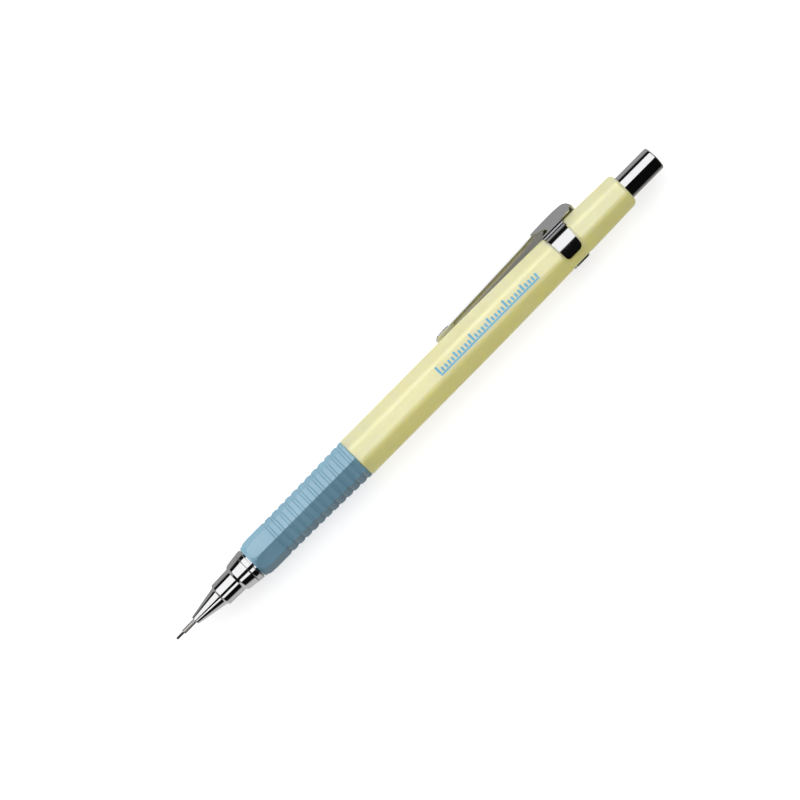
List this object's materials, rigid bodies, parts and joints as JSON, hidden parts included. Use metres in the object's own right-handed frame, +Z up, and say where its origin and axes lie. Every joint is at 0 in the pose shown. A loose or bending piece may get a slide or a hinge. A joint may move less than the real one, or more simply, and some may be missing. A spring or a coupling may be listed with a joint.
{
  "type": "mechanical pencil",
  "caption": "Push-button mechanical pencil: octagonal barrel and ribbed grip, stepped metal nose with fixed guide pipe, side spring clip and push cap over an eraser.",
  "frame": {"origin": "middle of the base of the whole pencil's box, where it lies on its side", "axes": "+X from the lead's point to the push cap, +Y to the side that the clip is on, +Z up"},
  "size_m": [0.145, 0.0124, 0.0108],
  "materials": {
    "barrel_plastic": "satin moulded plastic",
    "grip_plastic": "satin moulded plastic with cut ribs",
    "chrome": "bright chrome on turned brass",
    "clip_chrome": "bright chrome on stamped spring steel",
    "steel": "drawn stainless pipe",
    "graphite": "polished graphite lead",
    "seal_rubber": "black rubber",
    "brass": "turned brass",
    "spring_steel": "drawn spring wire",
    "inner_plastic": "natural moulded plastic",
    "eraser_rubber": "white eraser",
    "aluminium": "drawn aluminium cup"
  },
  "bodies": {
    "body": {"barrel": "barrel_plastic", "grip": "grip_plastic", "clip_band": "clip_chrome", "chuck_housing": "brass", "return_spring": "spring_steel"},
    "nose": {"nose_cone": "chrome", "grip_ring": "chrome", "guide_sleeve": "steel", "lead_retainer": "seal_rubber"},
    "plunger": {"chuck": "brass", "tube_connector": "brass", "lead_tube": "inner_plastic", "spare_leads": "graphite"},
    "clutch": {"clutch_ring": "brass"},
    "lead": {"lead": "graphite"},
    "cap": {"cap": "chrome", "cap_liner": "inner_plastic"},
    "eraser": {"eraser": "eraser_rubber", "eraser_ferrule": "aluminium", "cleaning_pin": "spring_steel"},
    "clip": {"clip_arm": "clip_chrome"}
  },
  "joints": [
    {"name": "button_press", "type": "slide", "parent": "body", "child": "plunger", "axis": [-1, 0, 0], "range_m": [0, 0.0024], "stiffness_N_per_m": 900, "springref_m": -0.003, "deforming": ["return_spring"]},
    {"name": "clutch_follow", "type": "slide", "parent": "body", "child": "clutch", "axis": [-1, 0, 0], "range_m": [0, 0.0006]},
    {"name": "lead_feed", "type": "slide", "parent": "clutch", "child": "lead", "axis": [-1, 0, 0], "range_m": [-0.002, 0.04]},
    {"name": "nose_unscrew", "type": "slide", "parent": "body", "child": "nose", "axis": [-1, 0, 0], "range_m": [0, 0.032]},
    {"name": "cap_pull", "type": "slide", "parent": "plunger", "child": "cap", "axis": [1, 0, 0], "range_m": [0, 0.06]},
    {"name": "eraser_pull", "type": "slide", "parent": "plunger", "child": "eraser", "axis": [1, 0, 0], "range_m": [0, 0.03]},
    {"name": "clip_flex", "type": "hinge", "parent": "body", "child": "clip", "pos_m": [0.0418, 0.00456, 0.00273], "axis": [0, -0.4772, -0.8788], "range_deg": [0, 5], "stiffness_Nm_per_rad": 0.6}
  ],
  "couplings": [
    {"joint": "clutch_follow", "follows": "button_press", "ratio": 0.25},
    {"joint": "eraser_pull", "follows": "cap_pull", "ratio": 0.5}
  ]
}
